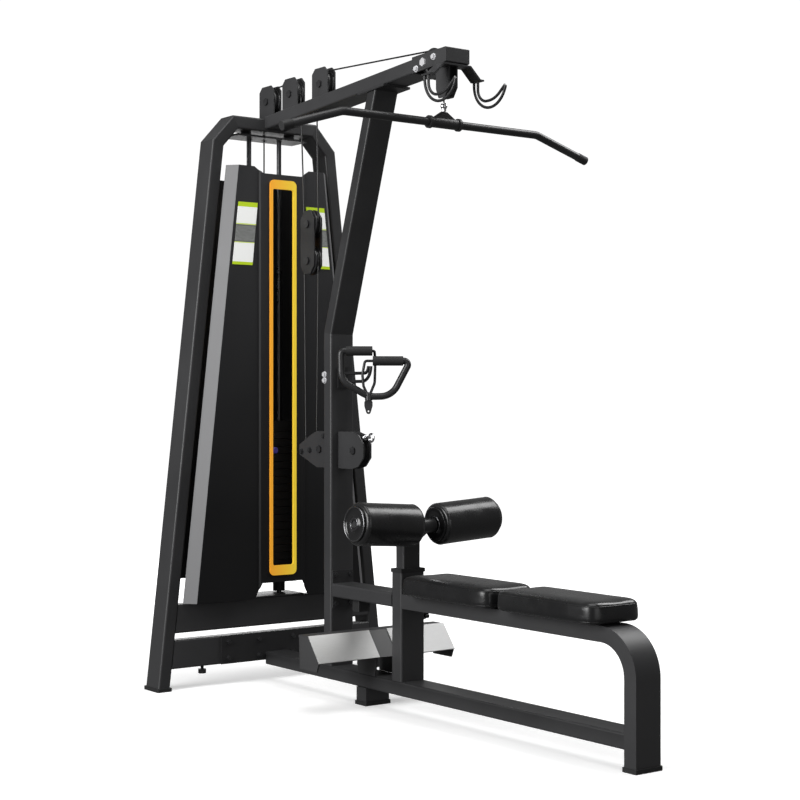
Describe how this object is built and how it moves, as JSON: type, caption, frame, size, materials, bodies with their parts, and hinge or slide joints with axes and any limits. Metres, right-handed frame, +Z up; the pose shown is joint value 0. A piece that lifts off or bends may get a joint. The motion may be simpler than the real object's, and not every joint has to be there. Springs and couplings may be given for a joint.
{
  "type": "lat pulldown machine",
  "caption": "Free-standing lat pulldown and seated row machine with a shrouded weight tower, beam, bench, thigh rollers, footrest and bar.",
  "frame": {"origin": "bottom centre of the bounding box, on the floor", "axes": "+Z up; X across the machine; -Y from the weight tower along the bench, so a person on the seat faces +Y"},
  "size_m": [1.3226, 2.2, 2.349],
  "materials": {
    "frame_paint": "satin",
    "light_paint": "satin",
    "panel_plastic": "matte",
    "slot_yellow": "satin",
    "card": "satin",
    "chrome": "polished",
    "dark_steel": "satin",
    "iron": "matte",
    "wheel_nylon": "satin",
    "rubber": "matte",
    "vinyl": "satin",
    "foam": "satin",
    "tread_steel": "brushed",
    "cable_jacket": "satin",
    "grip_rubber": "matte",
    "knob_violet": "gloss",
    "cap_plastic": "gloss"
  },
  "bodies": {
    "frame": {"axles_and_bolts": "chrome", "bar_hooks": "dark_steel", "base_rail": "frame_paint", "beam_end_housing": "frame_paint", "cable_runs": "cable_jacket", "column": "frame_paint", "crossbar_lower": "frame_paint", "crossbar_upper": "frame_paint", "footrest_body": "light_paint", "footrest_treads": "tread_steel", "guide_rods": "dark_steel", "placards": "card", "post_sleeve": "frame_paint", "resting_plates": "iron", "rubber_parts": "rubber", "seat_brackets": "dark_steel", "seat_frame_front": "frame_paint", "seat_pad_inner": "vinyl", "seat_pad_outer": "vinyl", "seat_rail_rear": "frame_paint", "shroud_panel": "panel_plastic", "shroud_rear": "panel_plastic", "shroud_trims": "light_paint", "slot_trim": "slot_yellow", "storage_hook": "dark_steel", "strut": "frame_paint", "top_beam": "frame_paint", "tower_leg_left": "frame_paint", "tower_leg_right": "frame_paint", "tower_top_tube": "frame_paint", "welded_brackets": "frame_paint"},
    "weight_stack": {"lifted_plates": "iron", "head_plate": "iron", "stack_cable": "cable_jacket"},
    "selector": {"selector_pin": "knob_violet"},
    "bar_hanger": {"lat_clip": "chrome", "lat_cable_drop": "cable_jacket"},
    "bar": {"lat_bar": "dark_steel", "lat_bar_grips": "grip_rubber"},
    "wheel_end": {"pulley_end": "wheel_nylon"},
    "wheel_front": {"pulley_front": "wheel_nylon"},
    "wheel_middle": {"pulley_middle": "wheel_nylon"},
    "wheel_rear": {"pulley_rear": "wheel_nylon"},
    "wheel_mid_rear": {"pulley_mid_rear": "wheel_nylon"},
    "wheel_mid_front": {"pulley_mid_front": "wheel_nylon"},
    "floating_block": {"float_block": "frame_paint", "float_cable_loops": "cable_jacket", "float_strands_upper": "cable_jacket", "float_strands_lower": "cable_jacket"},
    "float_upper": {"float_wheel_upper": "wheel_nylon"},
    "float_lower": {"float_wheel_lower": "wheel_nylon"},
    "row_handle_end": {"row_end": "chrome"},
    "close_grip_handle": {"v_handle_frame": "dark_steel", "v_handle_grips": "grip_rubber"},
    "thigh_assembly": {"thigh_post": "frame_paint"},
    "roller_left": {"roller_left": "foam", "roller_caps_left": "cap_plastic"},
    "roller_right": {"roller_right": "foam", "roller_caps_right": "cap_plastic"},
    "post_clamp": {"clamp_knob": "cap_plastic"}
  },
  "joints": [
    {"name": "lat_pull", "type": "slide", "parent": "frame", "child": "bar_hanger", "axis": [0, 0, -1], "range_m": [0, 0.9], "deforming": ["lat_cable_drop"]},
    {"name": "bar_swivel", "type": "hinge", "parent": "bar_hanger", "child": "bar", "pos_m": [0, -0.12, 2.078], "axis": [0, 0, 1], "range_deg": [-60, 60]},
    {"name": "stack_lift", "type": "slide", "parent": "frame", "child": "weight_stack", "axis": [0, 0, 1], "range_m": [0, 0.9], "deforming": ["stack_cable"]},
    {"name": "selector_pull", "type": "slide", "parent": "weight_stack", "child": "selector", "axis": [0, -1, 0], "range_m": [0, 0.06]},
    {"name": "end_pulley_spin", "type": "hinge", "parent": "frame", "child": "wheel_end", "pos_m": [0, -0.072, 2.254], "axis": [1, 0, 0], "continuous": true},
    {"name": "front_pulley_spin", "type": "hinge", "parent": "frame", "child": "wheel_front", "pos_m": [0, 0.613, 2.288], "axis": [1, 0, 0], "continuous": true},
    {"name": "middle_pulley_spin", "type": "hinge", "parent": "frame", "child": "wheel_middle", "pos_m": [0, 0.821, 2.281], "axis": [1, 0, 0], "continuous": true},
    {"name": "rear_pulley_spin", "type": "hinge", "parent": "frame", "child": "wheel_rear", "pos_m": [0, 0.989, 2.274], "axis": [1, 0, 0], "continuous": true},
    {"name": "row_pull", "type": "slide", "parent": "frame", "child": "row_handle_end", "axis": [0, -1, 0], "range_m": [0, 0.8]},
    {"name": "float_drop", "type": "slide", "parent": "frame", "child": "floating_block", "axis": [0, 0, -1], "range_m": [0, 0.4], "stiffness_N_per_m": 100, "springref_m": -1, "deforming": ["float_strands_upper", "float_strands_lower"]},
    {"name": "float_upper_spin", "type": "hinge", "parent": "floating_block", "child": "float_upper", "pos_m": [0, 0.697, 1.768], "axis": [1, 0, 0], "continuous": true},
    {"name": "float_lower_spin", "type": "hinge", "parent": "floating_block", "child": "float_lower", "pos_m": [0, 0.697, 1.628], "axis": [1, 0, 0], "continuous": true},
    {"name": "mid_rear_spin", "type": "hinge", "parent": "frame", "child": "wheel_mid_rear", "pos_m": [0, 0.613, 0.913], "axis": [1, 0, 0], "continuous": true},
    {"name": "mid_front_spin", "type": "hinge", "parent": "frame", "child": "wheel_mid_front", "pos_m": [0, 0.392, 0.913], "axis": [1, 0, 0], "continuous": true},
    {"name": "handle_lift_off", "type": "slide", "parent": "frame", "child": "close_grip_handle", "axis": [0, 0, 1], "range_m": [0, 0.03]},
    {"name": "post_height", "type": "slide", "parent": "frame", "child": "thigh_assembly", "axis": [0, 0, 1], "range_m": [-0.08, 0.12]},
    {"name": "left_roller_spin", "type": "hinge", "parent": "thigh_assembly", "child": "roller_left", "pos_m": [0, -0.013, 0.662], "axis": [-0.998, 0, 0.0628], "continuous": true},
    {"name": "right_roller_spin", "type": "hinge", "parent": "thigh_assembly", "child": "roller_right", "pos_m": [0, -0.013, 0.662], "axis": [0.998, 0, 0.0628], "continuous": true},
    {"name": "clamp_knob_turn", "type": "hinge", "parent": "frame", "child": "post_clamp", "pos_m": [0, 0.084, 0.344], "axis": [1, 0, 0], "range_deg": [0, 180]}
  ],
  "couplings": [
    {"joint": "stack_lift", "follows": "lat_pull", "ratio": 1},
    {"joint": "end_pulley_spin", "follows": "lat_pull", "rad_per_m": 20.833},
    {"joint": "front_pulley_spin", "follows": "lat_pull", "rad_per_m": 20.833},
    {"joint": "middle_pulley_spin", "follows": "lat_pull", "rad_per_m": 20.833},
    {"joint": "rear_pulley_spin", "follows": "lat_pull", "rad_per_m": 20.833},
    {"joint": "float_upper_spin", "follows": "lat_pull", "rad_per_m": -20.833},
    {"joint": "float_drop", "follows": "row_pull", "ratio": 0.5},
    {"joint": "mid_front_spin", "follows": "row_pull", "rad_per_m": 20.833},
    {"joint": "mid_rear_spin", "follows": "row_pull", "rad_per_m": -20.833},
    {"joint": "float_lower_spin", "follows": "row_pull", "rad_per_m": 10.417}
  ]
}
